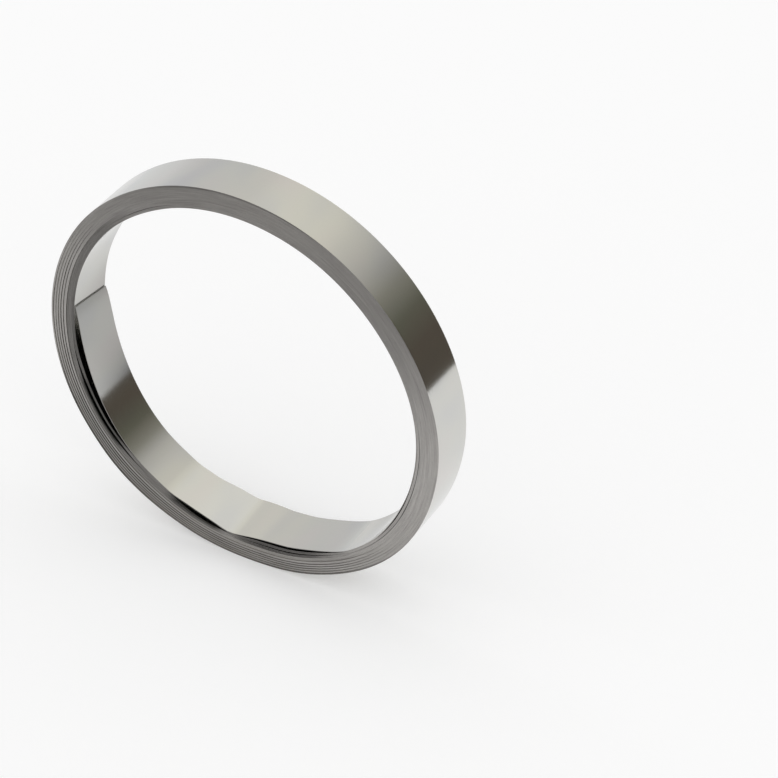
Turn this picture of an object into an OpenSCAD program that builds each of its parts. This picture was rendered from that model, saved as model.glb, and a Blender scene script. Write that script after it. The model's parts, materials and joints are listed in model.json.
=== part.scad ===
// Coil of cold-rolled stainless steel strip, standing on its rim on a level floor.
// The coil's axis lies along Y, and its front end faces -Y. Sizes are in millimetres.
// Angles turn from +X up towards +Z, as seen from the front. The origin is on the floor,
// under the middle of the bore.

/* [Strip] */
// Width of the strip
strip_w = 42; // [20:1:90]
// Thickness of the strip
strip_t = 0.5; // [0.4:0.05:0.8]

/* [Coil] */
// Diameter of the bore, where the strip was wound on its mandrel
bore_d = 305; // [260:1:508]
// Number of turns in the wall
turns = 37; // [16:1:80]
// How far a turn may lie to either side of the middle
edge_wander = 0.4; // [0.2:0.05:1]

/* [Inner end] */
// Angle of the inner cut end
inner_end = 172; // [150:1:190]
// Angle over which the inner end stands off the other turns
inner_span = 57; // [45:1:65]
// How far the inner end has straightened, from 0 for the bore's own curve to 1 for flat
inner_spring = 0.16; // [0.1:0.01:0.4]
// How far the cut is out of square, from one edge of the strip to the other
cut_skew = 5.5; // [0:0.5:8]

/* [Loosened turns] */
// Angle over which the inner turns have come off the bore
loose_span = 122; // [100:1:140]
// How far they have straightened there, on the same scale
loose_spring = 0.085; // [0.04:0.005:0.12]

/* [Outer end] */
// Angle of the outer cut end, close to the floor
outer_end = 257; // [240:1:262]

/* [Hidden] */
bore_r = bore_d / 2;
out_r = bore_r + turns * strip_t;

// The inner end leaves the other turns at its root
root_angle = inner_end + inner_span;
// Middle of the loosened turns, as an angle after the root
loose_mid = 18;

// The innermost turns, which have sprung off each other in places
slack_turns = 2;
// Stretches where the innermost turn stands off the next one: where each starts and ends, and
// how far the turn has straightened there. Those of the loosened turns are angles from their
// middle, seen from the centre of their own arc, and those on the bore are angles after the root.
LOOSE_SLACK = [
    [-46, -20, 0.4],
    [-8, 15, 0.5],
    [17, 50, 0.3]
];
BORE_SLACK = [
    [89, 133, 0.09]
];
// Height of the gap where it ends, because the turns beyond are too close to show one
gap_end = 0.3;
// Length by which a sprung stretch runs on into the turns that hold it
sunk = 3;
// The same for the inner end, which meets them at a smaller angle
root_sunk = 10;
// How far inside and outside of the inner end the tool that cuts it reaches
cut_inside = 4;
cut_outside = 1;
// Facets of a full circle for the sprung arcs, finer because their radius is many times the bore's
arc_fn = 720;

// The outermost turns, which end flush
outer_turns = 2;
// Their outline is two arcs, whose centres lie this far from the bore's, on either side
outer_shift = strip_t / 4;
outer_near_r = out_r - outer_shift;
outer_far_r = out_r - 3 * outer_shift;
// Height of the bore's middle over the lowest point of the coil
centre_z = outer_far_r + outer_shift * sin(outer_end);

$fn = 180;

// A strip that has straightened between two points of a circle of radius r keeps both points
// and takes a flatter arc. These give the arc's radius and how far its centre is moved.
function spring_rise(r, half, spring) = (1 - spring) * r * (1 - cos(half));
function spring_r(r, half, spring) =
    let (rise = spring_rise(r, half, spring), chord = r * sin(half))
    (chord * chord + rise * rise) / (2 * rise);
function spring_shift(r, half, spring) =
    r * cos(half) + spring_rise(r, half, spring) - spring_r(r, half, spring);
// Height of the gap that the flatter arc leaves in its middle
function gap_height(r, half, spring) = r * (1 - cos(half)) - spring_rise(r, half, spring);
// Angle, seen from the moved centre, at which an arc of radius arc_r meets a circle of radius r
function meet_angle(arc_r, shift, r) =
    acos((r * r - shift * shift - arc_r * arc_r) / (2 * shift * arc_r));

// The loosened turns' arc
loose_r = spring_r(bore_r, loose_span / 2, loose_spring);
loose_shift = spring_shift(bore_r, loose_span / 2, loose_spring);
// Distance from the bore's centre to that arc, at an angle off its middle, and at the root
function loose_at(off) =
    loose_shift * cos(off) + sqrt(pow(loose_r, 2) - pow(loose_shift * sin(off), 2));
root_r = loose_at(loose_mid);

// Sideways place of each turn: a few turns at a time lie flush, in steps of half the wander
function turn_wave(i) = 0.75 * sin(i * 47) + 0.55 * sin(i * 111);
function turn_place(i) = edge_wander * round(2 * max(-1, min(1, turn_wave(i)))) / 2;

// Edge points of the tight turns at one end of the coil, from the inside out
function turn_edge(side, first, last) = [
    for (i = [first : last + 1])
        let (r = bore_r + i * strip_t, face = side * strip_w / 2)
        each i == first ? [[r, face + turn_place(i)]]
            : i == last + 1 ? [[r, face + turn_place(last)]]
            : turn_place(i) != turn_place(i - 1)
                ? [[r, face + turn_place(i - 1)], [r, face + turn_place(i)]]
            : []
];
function reversed(list) = [for (i = [len(list) - 1 : -1 : 0]) list[i]];

// The sector between two angles, less than half a turn apart, which takes in a circle of radius r
module sector(r, from, to) {
    reach = 2 * r;
    mid = (from + to) / 2;
    polygon([
        [0, 0],
        [reach * cos(from), reach * sin(from)],
        [reach * cos(mid), reach * sin(mid)],
        [reach * cos(to), reach * sin(to)]
    ]);
}

module ring(inside_r, outside_r) {
    difference() {
        circle(r = outside_r);
        circle(r = inside_r);
    }
}

// Section of strip along an arc about a moved centre, from one angle to the other
module strip_arc(arc_r, shift, from, to) {
    translate([shift, 0])
        intersection() {
            ring(arc_r - strip_t, arc_r, $fn = arc_fn);
            sector(arc_r, from, to);
        }
}

// The lifted stretch of the innermost turn, sunk into the next turn at both ends, where the
// innermost turn otherwise lies on a circle of radius inside_r
module slack_strip(inside_r, from, to, spring) {
    half = (to - from) / 2;
    r = inside_r + strip_t;
    arc_r = spring_r(r, half, spring);
    shift = spring_shift(r, half, spring);
    reach = meet_angle(arc_r, shift, r) + asin(sunk / arc_r);
    rotate(from + half)
        strip_arc(arc_r, shift, -reach, reach);
}

// The opening behind it
module slack_gap(inside_r, from, to, spring) {
    half = (to - from) / 2;
    r = inside_r + strip_t;
    open = half * sqrt(1 - gap_end / gap_height(r, half, spring));
    rotate(from + half)
        intersection() {
            sector(r, -open, open);
            difference() {
                circle(r = r);
                translate([spring_shift(r, half, spring), 0])
                    circle(r = spring_r(r, half, spring), $fn = arc_fn);
            }
        }
}

// Turns what it is given to the root, and to the centre of the loosened turns' arc
module at_root() { rotate(root_angle) children(); }
module at_loose() {
    rotate(root_angle + loose_mid)
        translate([loose_shift, 0])
            children();
}

// The loosened turns fill the space between their arc and the bore
module loose_turns() {
    difference() {
        circle(r = bore_r + strip_t);
        at_loose() circle(r = loose_r, $fn = arc_fn);
    }
}

// The inner end: it leaves the loosened turns and stands off them in a flatter arc of its own
module inner_tail() {
    half = inner_span / 2;
    arc_r = spring_r(root_r, half, inner_spring);
    shift = spring_shift(root_r, half, inner_spring);
    tip = meet_angle(arc_r, shift, root_r);
    rotate(inner_end + half)
        strip_arc(arc_r, shift, -tip - asin(sunk / arc_r), tip + asin(root_sunk / arc_r));
}

// What the snips take off its end, a little out of square
module end_cut() {
    length = 2 * (sunk + cut_skew);
    rotate(inner_end)
        translate([root_r, cut_skew / 2, 0])
            rotate([atan(cut_skew / strip_w), 0, 0])
                translate([-cut_inside, -length, -strip_w])
                    cube([cut_inside + cut_outside, length, 2 * strip_w]);
}

// The innermost turns with their sprung stretches and the inner end
module inner_turns() {
    difference() {
        linear_extrude(height = strip_w, center = true) {
            difference() {
                union() {
                    ring(bore_r, bore_r + (slack_turns + 0.5) * strip_t);
                    loose_turns();
                }
                for (gap = LOOSE_SLACK) at_loose() slack_gap(loose_r, gap[0], gap[1], gap[2]);
                for (gap = BORE_SLACK) at_root() slack_gap(bore_r, gap[0], gap[1], gap[2]);
            }
            for (gap = LOOSE_SLACK) at_loose() slack_strip(loose_r, gap[0], gap[1], gap[2]);
            for (gap = BORE_SLACK) at_root() slack_strip(bore_r, gap[0], gap[1], gap[2]);
            inner_tail();
        }
        end_cut();
    }
}

// The turns that lie tight on each other
module tight_turns() {
    first = slack_turns;
    last = turns - 1 - outer_turns;
    rotate_extrude()
        polygon(concat(turn_edge(-1, first, last), reversed(turn_edge(1, first, last))));
}

// The outermost turns: a spiral from a disc and a larger half disc, with a step one thickness
// high at the cut end
module outer_end_turns() {
    linear_extrude(height = strip_w, center = true)
        difference() {
            union() {
                rotate(outer_end + 180) translate([outer_shift, 0]) circle(r = outer_far_r);
                rotate(outer_end)
                    intersection() {
                        translate([outer_shift, 0]) circle(r = outer_near_r);
                        translate([-2 * out_r, -2 * out_r]) square([4 * out_r, 2 * out_r]);
                    }
            }
            circle(r = out_r - (outer_turns + 0.5) * strip_t);
        }
}

module strip_coil() {
    color("silver")
        translate([0, 0, centre_z])
            rotate([90, 0, 0]) {
                inner_turns();
                tight_turns();
                outer_end_turns();
            }
}

strip_coil();
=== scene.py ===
"""A narrow coil of bright stainless steel strip, standing on its rim."""

import json
import math

import bpy
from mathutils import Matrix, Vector


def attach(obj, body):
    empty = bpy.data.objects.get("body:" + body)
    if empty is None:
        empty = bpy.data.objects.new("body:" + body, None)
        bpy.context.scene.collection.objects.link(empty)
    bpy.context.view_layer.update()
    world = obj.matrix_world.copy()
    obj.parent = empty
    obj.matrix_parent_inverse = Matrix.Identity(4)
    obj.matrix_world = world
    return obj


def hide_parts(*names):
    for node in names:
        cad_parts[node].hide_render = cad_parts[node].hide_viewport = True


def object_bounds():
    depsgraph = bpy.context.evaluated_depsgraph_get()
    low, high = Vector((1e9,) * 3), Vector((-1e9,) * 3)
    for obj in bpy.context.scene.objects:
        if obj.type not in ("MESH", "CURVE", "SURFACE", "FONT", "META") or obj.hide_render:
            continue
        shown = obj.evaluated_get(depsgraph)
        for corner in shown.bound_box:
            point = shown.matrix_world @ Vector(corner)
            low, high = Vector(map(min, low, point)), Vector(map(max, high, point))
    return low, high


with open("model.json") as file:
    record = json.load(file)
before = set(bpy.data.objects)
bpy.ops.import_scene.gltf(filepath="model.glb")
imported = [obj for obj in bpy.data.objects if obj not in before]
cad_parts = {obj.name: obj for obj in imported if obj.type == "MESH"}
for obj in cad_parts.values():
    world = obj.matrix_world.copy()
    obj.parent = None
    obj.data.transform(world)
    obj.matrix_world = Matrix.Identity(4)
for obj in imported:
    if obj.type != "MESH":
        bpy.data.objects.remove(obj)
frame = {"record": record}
cad_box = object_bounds()
bpy.ops.object.select_all(action="DESELECT")


# Camera: a long lens looks down on the coil from the right of its front end, and the coil lies
# left of the picture's middle. The coil's underside is flattened where it stands, so its middle
# is that much lower than a round coil's.
mm = 0.001
mounts = {mount["name"]: mount for mount in frame["record"]["mounts"]}
flattened = 2 * mm
axis_height = mounts["bore"]["pos_m"][2] - flattened
front_middle = Vector((0, cad_box[0].y, axis_height))

view_azimuth = math.radians(29.6)
view_elevation = math.radians(37.2)
view_distance = 2.249
# Lens and sensor, in millimetres
lens_length = 138.8
sensor_width = 36
# The picture's middle, seen from the middle of the coil's front end
aim_right = 0.1122
aim_up = -0.0015

to_camera = Vector((
    math.sin(view_azimuth) * math.cos(view_elevation),
    -math.cos(view_azimuth) * math.cos(view_elevation),
    math.sin(view_elevation),
))
picture_right = Vector((math.cos(view_azimuth), math.sin(view_azimuth), 0))
picture_up = to_camera.cross(picture_right)
aim = front_middle + aim_right * picture_right + aim_up * picture_up

bpy.ops.object.camera_add(
    location=aim + view_distance * to_camera,
    rotation=(math.pi / 2 - view_elevation, 0, view_azimuth),
)
camera = bpy.context.object
camera.data.lens = lens_length
camera.data.sensor_width = sensor_width
bpy.context.scene.camera = camera


# Strip: one length of cold-rolled stainless steel, 42 mm wide and half a millimetre thick, with
# slit edges. It is modelled flat and then wound. Nothing but its own tightness holds the coil,
# so its inner turns have sprung off each other on the left and at the bottom.
strip_w = 42 * mm
strip_t = 0.5 * mm
# Chamfer along the slit edges
slit_corner = 0.07 * mm
# From one turn to the next where they lie tight, and the outside of the last turn
pitch = 0.515 * mm
out_r = 170.98 * mm

# All angles are in degrees. Angles round the coil turn from +X up towards +Z, as seen from the
# front, and may run on past a full turn. The strip starts at its inner cut, lies on the next turn
# from its root on, and ends at its outer cut. Angles of winding are counted from the inner cut.
one_turn = 360
inner_cut = 172
root = 229
outer_cut = 257
wound = 36 * one_turn + outer_cut - inner_cut

# The inner end is a springy tail from the cut to the root. It sets off inwards, as if to be this
# deep at the root, and bends back to meet the root. The higher the power, the sooner it does.
tail_depth = 22 * mm
tail_power = 1.5
# How far out the tip bends. The higher the power, the shorter the bend.
tip_rise = 2.2 * mm
tip_power = 16
# How much further round the cut is at the back edge, and how far from the cut this dies away
cut_skew = 2.2
cut_skew_length = 12
# How far from the cut the painted shade in the gap behind the inner end reaches
cut_shade_length = 16

# Where the coil is out of round: the middle of each dent or bulge and half its width, as angles,
# and its height
OUT_OF_ROUND = [
    (34, 44, -1.5 * mm),
    (100, 34, 0.55 * mm),
    (175, 40, -0.5 * mm),
    (227, 15, 0.9 * mm),
    (252, 16, -1.0 * mm),
    (270, 20, -flattened),
    (318, 34, 1.9 * mm),
]

# Each turn is a row. Rows are counted from the inside, and a new one starts each time the strip
# passes this angle, where all of them lie flush.
row_seam = 60

# Where rows have sprung inwards: the outermost one that moves, the number of rows over which the
# movement builds up to its height, the angles at which it starts and ends, and its height
SPRUNG = [
    (35, 36, 126, 218, 1.0 * mm),
    (3, 3, 160, 206, 0.8 * mm),
    (4, 1, 184, 234, 2.9 * mm),
    (35, 36, 212, 252, 2.6 * mm),
    (9, 10, 214, 256, 2.5 * mm),
    (1, 1, 242, 265, 4.0 * mm),
    (6, 7, 262, 286, 1.8 * mm),
    (6, 7, 264, 307, 2.2 * mm),
    (3, 1, 264, 307, 0.8 * mm),
    (0, 1, 264, 307, 1.9 * mm),
    (4, 1, 300, 378, 0.45 * mm),
    (0, 1, 318, 345, 0.7 * mm),
    (0, 1, 325, 372, 0.3 * mm),
    (5, 1, 108, 136, 0.35 * mm),
]

# The innermost row's front edge is kinked outwards where two of these meet, near 264 degrees. Its
# back edge runs straight on: how far that stands in from the kink, and where it starts and ends.
kink_depth = 4.5 * mm
kink_start = 250
kink_end = 278

# Sets of rows that slipped sideways together: the first row of each. A hairline gap opens between
# one set and the next, of a width given in millimetres, on the left and at the bottom.
SETS = (0, 13, 18, 22, 26, 30, 34, 38)
HAIRLINES = (0.08, 0.24, 0.28, 0.12, 0.08, 0.12)
hairline_start = 128
hairline_end = 310
SPRUNG += [
    (first_row - 1, 1, hairline_start, hairline_end, width * mm)
    for first_row, width in zip(SETS[1:-1], HAIRLINES)
]
# How far the sets slipped, and the angles between which this grows and dies away again
slip = 0.36 * mm
SLIP_GROWS = (118, 150)
SLIP_ENDS = (305, 338)

# Painted shade on the slit edges, in gaps and recesses between sprung turns and where little light
# falls: the first and last row, the angles at which it starts and ends, and how dark, from 0 to 1
PAINTED_SHADE = [
    (1, 12, 122, 208, 0.52),
    (1, 4, 193, 226, 0.75),
    (5, 7, 193, 226, 0.9),
    (8, 10, 193, 226, 0.6),
    (0, 1, 240, 264, 0.8),
    (2, 5, 240, 264, 0.9),
    (6, 9, 240, 264, 0.6),
    (0, 0, 262, 306, 0.6),
    (1, 6, 262, 300, 0.45),
    (34, 37, 190, 250, 0.8),
    (34, 37, 240, 330, 0.5),
    (34, 37, 60, 120, 0.35),
]


def swell(share):
    """A smooth rise from 0 to 1 in the middle and back, for a share from 0 to 1."""
    if not 0 < share < 1:
        return 0
    arch = 4 * share * (1 - share)
    # A power above 1 rounds off the arch's two feet
    return arch ** 1.5


def rise(angle, start, end):
    """A smooth rise from 0 to 1 between two angles."""
    share = max(0, min(1, (angle - start) / (end - start)))
    return share * share * (3 - 2 * share)


def out_of_round(beta):
    """How far the coil's outline stands out from a true circle, at an angle round the coil."""
    total = 0
    for middle, half, height in OUT_OF_ROUND:
        off = (beta - middle + one_turn / 2) % one_turn - one_turn / 2
        if abs(off) < half:
            total += height * math.cos(math.pi / 2 * off / half) ** 2
    return total


def sprung(theta):
    """How far the strip has sprung inwards, at an angle of winding."""
    total = 0
    for row, building_up, first, last, height in SPRUNG:
        start = one_turn * row + first - inner_cut
        rows_inside = max(0, math.ceil((start - theta) / one_turn))
        share = (theta + one_turn * rows_inside - start) / (last - first)
        total += height * swell(share) * min(1, (rows_inside + 1) / building_up)
    return total


def turn_r(theta):
    """Radius to the middle of the strip's thickness, for all but the tail."""
    tight = out_r - strip_t / 2 - pitch * (wound - theta) / one_turn
    return tight + out_of_round(inner_cut + theta) - sprung(theta)


def strip_r(theta):
    """Radius to the middle of the strip's thickness."""
    share = theta / (root - inner_cut)
    if share >= 1:
        return turn_r(theta)
    tip = tip_rise * (1 - share) ** tip_power
    tail = tail_depth * share * (1 - share) ** tail_power
    return turn_r(root - inner_cut) + tip - tail


def row_and_angle(theta):
    """The row at an angle of winding, and the angle round the coil from the row's seam on."""
    past_seam = theta + inner_cut - row_seam
    return math.floor(past_seam / one_turn), row_seam + past_seam % one_turn


def sideways(theta):
    """How far the strip has slipped towards the back. Each set steps back from its innermost row
    to its outermost, apart from the innermost set, which all lies back."""
    row, angle = row_and_angle(theta)
    first_row = max(start for start in SETS if start <= row)
    rows = min(start for start in SETS if start > row) - first_row
    share = 1 if first_row == 0 else (row - first_row) / (rows - 1)
    slipped = rise(angle, *SLIP_GROWS) * (1 - rise(angle, *SLIP_ENDS))
    return slip * slipped * (2 * share - 1)


def painted_shade_at(theta):
    """How much painted shade darkens the slit edge, from 0 to 1. Each shaded place dies away over its
    ends.
    """
    row, angle = row_and_angle(theta)
    clean = 1
    for first_row, last_row, first, last, amount in PAINTED_SHADE:
        if first_row <= row <= last_row:
            clean *= 1 - amount * min(1, 2 * swell((angle - first) / (last - first)))
    return 1 - clean


# The flat strip, as long as its mean radius makes it. It starts at the origin and runs along X,
# and its long edges are chamfered, as the slitter's burnish leaves them.
flat_length = math.radians(wound) * (out_r - wound / one_turn * pitch / 2)
bpy.ops.mesh.primitive_cube_add(size=1)
strip = bpy.context.object
strip.name = "strip"
strip.data.name = "strip"
bpy.ops.object.mode_set(mode="EDIT")
bpy.ops.transform.translate(value=(0.5, 0, 0))
bpy.ops.transform.resize(value=(flat_length, strip_w, strip_t), center_override=(0, 0, 0))
bpy.ops.object.mode_set(mode="OBJECT")


def select_long_edges():
    """Selects the edges that run along the flat strip."""
    mesh = strip.data
    for part in (*mesh.vertices, *mesh.edges, *mesh.polygons):
        part.select = False
    for edge in mesh.edges:
        start, end = (mesh.vertices[index].co for index in edge.vertices)
        edge.select = abs(end.x - start.x) > strip_t


select_long_edges()
bpy.ops.object.mode_set(mode="EDIT")
bpy.ops.mesh.select_mode(type="EDGE")
bpy.ops.mesh.bevel(offset=slit_corner, segments=1, affect="EDGES", clamp_overlap=False)
bpy.ops.object.mode_set(mode="OBJECT")
# Two rounds of cuts, into 81 lengths and into 81 again, make 181 sections a turn
for cuts in (80, 80):
    select_long_edges()
    bpy.ops.object.mode_set(mode="EDIT")
    bpy.ops.mesh.subdivide(number_cuts=cuts)
    bpy.ops.object.mode_set(mode="OBJECT")

# Flat faces are material slot 0. Slit edges, their chamfers and the cut ends are slot 1, and shade
# as one round bead, with a sharp seam to the flat faces. The chamfers lean at 45 degrees, so that
# only a flat face's normal is this upright.
upright = 0.9
mesh = strip.data
edges_of_slot = (set(), set())
for face in mesh.polygons:
    face.material_index = 0 if abs(face.normal.z) > upright else 1
    edges_of_slot[face.material_index].update(face.edge_keys)
seams = edges_of_slot[0] & edges_of_slot[1]
for edge in mesh.edges:
    edge.use_edge_sharp = edge.key in seams

# The map keeps the flat strip's own length and width, in metres
flat_map = mesh.uv_layers.new(name="flat strip")
for loop in mesh.loops:
    flat = mesh.vertices[loop.vertex_index].co
    flat_map.data[loop.index].uv = (flat.x, flat.y)

# Winding, from the inner cut out. Painted shade darkens the inner end's outer face and cut, near the
# cut, as shade in the gap between it and the next turn.
edge_shade = mesh.attributes.new("edge_shade", "FLOAT", "POINT")
cut_shade = mesh.attributes.new("cut_shade", "FLOAT", "POINT")
for vertex in mesh.vertices:
    along, across, through = vertex.co
    theta = along / flat_length * wound
    back_share = 0.5 - across / strip_w
    cut_shade_here = max(0, 1 - theta / cut_shade_length) if through > 0 else 0
    cut_shade.data[vertex.index].value = cut_shade_here
    edge_shade.data[vertex.index].value = max(cut_shade_here, painted_shade_at(theta))
    radius = strip_r(theta) + through
    if theta < one_turn:
        kink = swell((inner_cut + theta - kink_start) / (kink_end - kink_start))
        radius -= back_share * kink_depth * kink
    theta += cut_skew * back_share * max(0, 1 - theta / cut_skew_length)
    beta = math.radians(inner_cut + theta)
    vertex.co = (
        radius * math.cos(beta),
        sideways(theta) - across,
        axis_height + radius * math.sin(beta),
    )
bpy.ops.object.shade_smooth()


def add_node(tree, kind, values=None, **settings):
    """Adds a shader node with its settings and the values of its inputs."""
    node = tree.nodes.new("ShaderNode" + kind)
    for name, value in settings.items():
        setattr(node, name, value)
    for socket, value in (values or {}).items():
        node.inputs[socket].default_value = value
    return node


def add_ramp(tree, source, stops):
    """Colours along a value: each stop is a place on it, from 0 to 1, and the colour there."""
    node = add_node(tree, "ValToRGB")
    ramp = node.color_ramp
    ramp.elements.remove(ramp.elements[1])
    for index, (place, colour) in enumerate(stops):
        stop = ramp.elements[0] if index == 0 else ramp.elements.new(place)
        stop.position = place
        stop.color = (*colour, 1)
    tree.links.new(source, node.inputs["Fac"])
    return node.outputs["Color"]


def blend(tree, share, first, second):
    """A mix of two colours, each of them fixed or from another node."""
    node = add_node(tree, "Mix", data_type="RGBA")
    tree.links.new(share, node.inputs["Factor"])
    for socket, colour in (("A", first), ("B", second)):
        if isinstance(colour, tuple):
            node.inputs[socket].default_value = (*colour, 1)
        else:
            tree.links.new(colour, node.inputs[socket])
    return node.outputs["Result"]


# Fine lines along the strip, left by the rolls and the slitter, from 0 to 1
lines = bpy.data.node_groups.new("strip lines", "ShaderNodeTree")
for name in ("Along", "Across", "Detail"):
    lines.interface.new_socket(name, in_out="INPUT", socket_type="NodeSocketFloat")
lines.interface.new_socket("Lines", in_out="OUTPUT", socket_type="NodeSocketFloat")
given = lines.nodes.new("NodeGroupInput")
result = lines.nodes.new("NodeGroupOutput")
flat_place = add_node(lines, "UVMap", uv_map="flat strip")
stretch = add_node(lines, "CombineXYZ")
stretched = add_node(lines, "VectorMath", operation="MULTIPLY")
noise = add_node(lines, "TexNoise", {"Scale": 1.0, "Roughness": 0.6})
lines.links.new(given.outputs["Along"], stretch.inputs["X"])
lines.links.new(given.outputs["Across"], stretch.inputs["Y"])
lines.links.new(flat_place.outputs["UV"], stretched.inputs[0])
lines.links.new(stretch.outputs[0], stretched.inputs[1])
lines.links.new(stretched.outputs[0], noise.inputs["Vector"])
lines.links.new(given.outputs["Detail"], noise.inputs["Detail"])
lines.links.new(noise.outputs["Fac"], result.inputs["Lines"])


def add_lines(tree, along, across, detail):
    """The strip's lines in a material, with this many per metre along it and across it."""
    group = tree.nodes.new("ShaderNodeGroup")
    group.node_tree = lines
    group.inputs["Along"].default_value = along
    group.inputs["Across"].default_value = across
    group.inputs["Detail"].default_value = detail
    return group.outputs["Lines"]


# Flat faces: bright rolled steel with faint rolling lines, soft tints, a slightly uneven shine and
# shallow waves from the rolls
steel_tints = (
    (0.32, (0.585, 0.585, 0.575)),
    (0.50, (0.615, 0.612, 0.58)),
    (0.68, (0.63, 0.61, 0.585)),
)
# Colour of the painted shade on the inner end's outer face near the cut, in the gap behind it
face_shade_colour = (0.02, 0.02, 0.017)
line_depth = 0.02 * mm
wave_depth = 0.2 * mm
rolled_steel = bpy.data.materials.new("rolled steel")
rolled_steel.use_nodes = True
tree = rolled_steel.node_tree
shader = tree.nodes["Principled BSDF"]
shader.inputs["Metallic"].default_value = 1
tint = add_ramp(tree, add_lines(tree, 26.0, 14.0, 1.0), steel_tints)
cut_shade_place = add_node(tree, "Attribute", attribute_name="cut_shade").outputs["Fac"]
tree.links.new(blend(tree, cut_shade_place, tint, face_shade_colour), shader.inputs["Base Color"])
rolling = add_lines(tree, 6.0, 1500.0, 3.0)
shine = add_node(tree, "MapRange", {"To Min": 0.07, "To Max": 0.15})
tree.links.new(rolling, shine.inputs["Value"])
tree.links.new(shine.outputs["Result"], shader.inputs["Roughness"])
waves = add_node(tree, "Bump", {"Strength": 0.5, "Distance": wave_depth})
tree.links.new(add_lines(tree, 16.0, 20.0, 0.0), waves.inputs["Height"])
relief = add_node(tree, "Bump", {"Strength": 0.15, "Distance": line_depth})
tree.links.new(rolling, relief.inputs["Height"])
tree.links.new(waves.outputs["Normal"], relief.inputs["Normal"])
tree.links.new(relief.outputs["Normal"], shader.inputs["Normal"])
mesh.materials.append(rolled_steel)

# Slit edges: sheared steel, greyer and rougher, streaked from turn to turn, with painted shade in places
streak_greys = (
    (0.3, (0.275, 0.262, 0.25)),
    (0.7, (0.52, 0.503, 0.485)),
)
# Colour of the painted shade on the slit edges, in the listed places and near the inner cut
edge_shade_colour = (0.035, 0.034, 0.03)
slit_steel = bpy.data.materials.new("slit steel")
slit_steel.use_nodes = True
tree = slit_steel.node_tree
shader = tree.nodes["Principled BSDF"]
shader.inputs["Metallic"].default_value = 1
streaks = add_lines(tree, 22.0, 9000.0, 4.0)
grey = add_ramp(tree, streaks, streak_greys)
edge_shade_place = add_node(tree, "Attribute", attribute_name="edge_shade").outputs["Fac"]
tree.links.new(blend(tree, edge_shade_place, grey, edge_shade_colour), shader.inputs["Base Color"])
shine = add_node(tree, "MapRange", {"To Min": 0.25, "To Max": 0.4})
tree.links.new(streaks, shine.inputs["Value"])
tree.links.new(shine.outputs["Result"], shader.inputs["Roughness"])
mesh.materials.append(slit_steel)

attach(strip, "root")
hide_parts("strip_coil")


# Floor: a pale table top that ends about a metre from the coil. What the steel mirrors of it is
# a painted pool of light round the coil that fades towards the camera, and painted shade behind it.
table_r = 1.07
table_grey = (0.85, 0.85, 0.85)
table_glow = 0.2
black = (0, 0, 0)
# The darker stretch lies behind a line from the coil's foot, at this angle from +X
dark_line = math.radians(41.3)
bpy.ops.object.select_all(action="DESELECT")
bpy.ops.mesh.primitive_circle_add(vertices=128, radius=table_r, fill_type="NGON")
floor = bpy.context.object
floor.name = "floor"
pale = bpy.data.materials.new("pale floor")
pale.use_nodes = True
tree = pale.node_tree
shader = tree.nodes["Principled BSDF"]
shader.inputs["Roughness"].default_value = 0.9
shader.inputs["Specular IOR Level"].default_value = 0
shader.inputs["Emission Color"].default_value = (1, 1, 1, 1)
place = add_node(tree, "TexCoord")
level = add_node(tree, "SeparateXYZ")
turned = add_node(tree, "Mapping", {"Rotation": (0, 0, -dark_line)})
turned_level = add_node(tree, "SeparateXYZ")
tree.links.new(place.outputs["Object"], level.inputs[0])
tree.links.new(place.outputs["Object"], turned.inputs["Vector"])
tree.links.new(turned.outputs[0], turned_level.inputs[0])


def fade(tree, source, start, end, low, high, smooth=True):
    """A value that goes from low to high as the source goes from start to end."""
    node = add_node(
        tree,
        "MapRange",
        {"From Min": start, "From Max": end, "To Min": low, "To Max": high},
        interpolation_type="SMOOTHSTEP" if smooth else "LINEAR",
    )
    tree.links.new(source, node.inputs["Value"])
    return node.outputs["Result"]


def combine(tree, operation, first, second):
    """The sum, product or other combination of two values."""
    node = add_node(tree, "Math", operation=operation)
    for socket, value in zip(node.inputs, (first, second)):
        if isinstance(value, (int, float)):
            socket.default_value = value
        else:
            tree.links.new(value, socket)
    return node.outputs[0]


# The darker stretch deepens along its line, first close to the coil and then far out. Places are
# in metres from the coil's foot.
beyond_line = fade(tree, turned_level.outputs["Y"], 0.0, 0.12, 0, 1)
near_dark = fade(tree, turned_level.outputs["X"], 0.04, 0.13, 0.09, 0.36)
far_dark = fade(tree, turned_level.outputs["X"], 0.25, 0.9, 0, 0.47, smooth=False)
behind = combine(tree, "MULTIPLY", beyond_line, combine(tree, "ADD", near_dark, far_dark))
away_from_camera = fade(tree, level.outputs["Y"], -0.75, -0.15, 0.2, 1)
rightwards = fade(tree, level.outputs["X"], -0.35, 0.1, 0.98, 1)
pool = combine(tree, "SUBTRACT", 1, behind)
pool = combine(tree, "MULTIPLY", pool, away_from_camera)
pool = combine(tree, "MULTIPLY", pool, rightwards)
# Only mirrored rays see the pool and the darker stretch. The rest see a floor pale all over.
light_path = add_node(tree, "LightPath")
lit = combine(tree, "SUBTRACT", 1, light_path.outputs["Is Glossy Ray"])
lit = combine(tree, "MAXIMUM", lit, pool)
tree.links.new(blend(tree, lit, black, table_grey), shader.inputs["Base Color"])
seen = combine(tree, "MAXIMUM", light_path.outputs["Is Camera Ray"], light_path.outputs["Is Glossy Ray"])
glow = combine(tree, "MULTIPLY", combine(tree, "MULTIPLY", seen, table_glow), lit)
tree.links.new(glow, shader.inputs["Emission Strength"])
floor.data.materials.append(pale)


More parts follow.
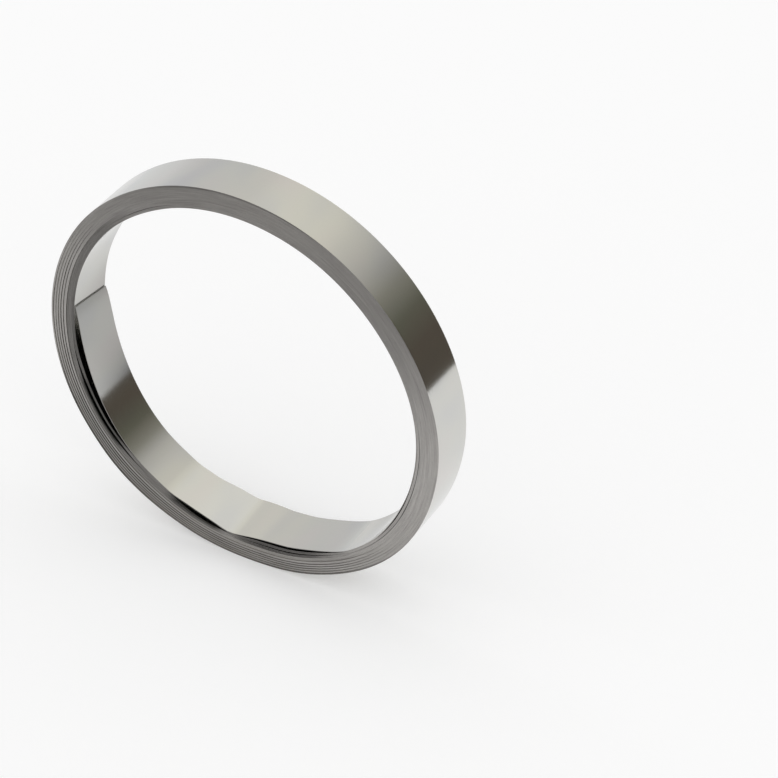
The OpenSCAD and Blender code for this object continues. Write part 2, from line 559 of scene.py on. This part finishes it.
# World: white to the camera and plain pale light for the rest. What the steel mirrors is a bright
# ceiling, a dark wall behind the coil on the right, a pale one on the left and a dim room in front.
white = (1, 1, 1)
pale_light = (0.9, 0.9, 0.9)
ceiling = (1.0, 0.99, 0.95)
world = bpy.data.worlds.new("studio")
bpy.context.scene.world = world
world.use_nodes = True
tree = world.node_tree
background = tree.nodes["Background"]
background.inputs["Strength"].default_value = 1
direction = add_node(tree, "TexCoord")
heading = add_node(tree, "SeparateXYZ")
tree.links.new(direction.outputs["Generated"], heading.inputs[0])

# The walls' colours from the horizon up, each at the sine of its elevation
dark_wall = add_ramp(tree, heading.outputs["Z"], (
    (0.05, (0.105, 0.090, 0.073)),
    (0.235, (0.135, 0.135, 0.105)),
    (0.393, (0.292, 0.285, 0.249)),
    (0.528, (0.53, 0.523, 0.50)),
    (0.643, (0.745, 0.73, 0.68)),
    (0.70, (0.91, 0.89, 0.81)),
    (0.80, ceiling),
))
pale_wall = add_ramp(tree, heading.outputs["Z"], (
    (0.0, (0.82, 0.83, 0.84)),
    (0.21, (0.736, 0.73, 0.745)),
    (0.434, (0.765, 0.768, 0.755)),
    (0.605, (0.81, 0.795, 0.765)),
    (0.70, (0.953, 0.936, 0.873)),
    (0.80, ceiling),
))
dim_room = add_ramp(tree, heading.outputs["Z"], (
    (0.05, (0.16, 0.155, 0.15)),
    (0.35, (0.26, 0.25, 0.24)),
    (0.60, (0.75, 0.74, 0.72)),
    (0.80, ceiling),
))
to_the_right = fade(tree, heading.outputs["X"], -0.30, 0.05, 0, 1)
to_the_back = fade(tree, heading.outputs["Y"], 0.0, 0.35, 0, 1)
to_the_front = fade(tree, heading.outputs["Y"], -0.45, -0.1, 1, 0)
room = blend(tree, combine(tree, "MULTIPLY", to_the_right, to_the_back), pale_wall, dark_wall)
room = blend(tree, to_the_front, room, dim_room)
light_path = add_node(tree, "LightPath")
shown = blend(tree, light_path.outputs["Is Glossy Ray"], pale_light, room)
shown = blend(tree, light_path.outputs["Is Camera Ray"], shown, white)
tree.links.new(shown, background.inputs["Color"])

bpy.context.scene.view_settings.view_transform = "Standard"

bpy.context.view_layer.update()
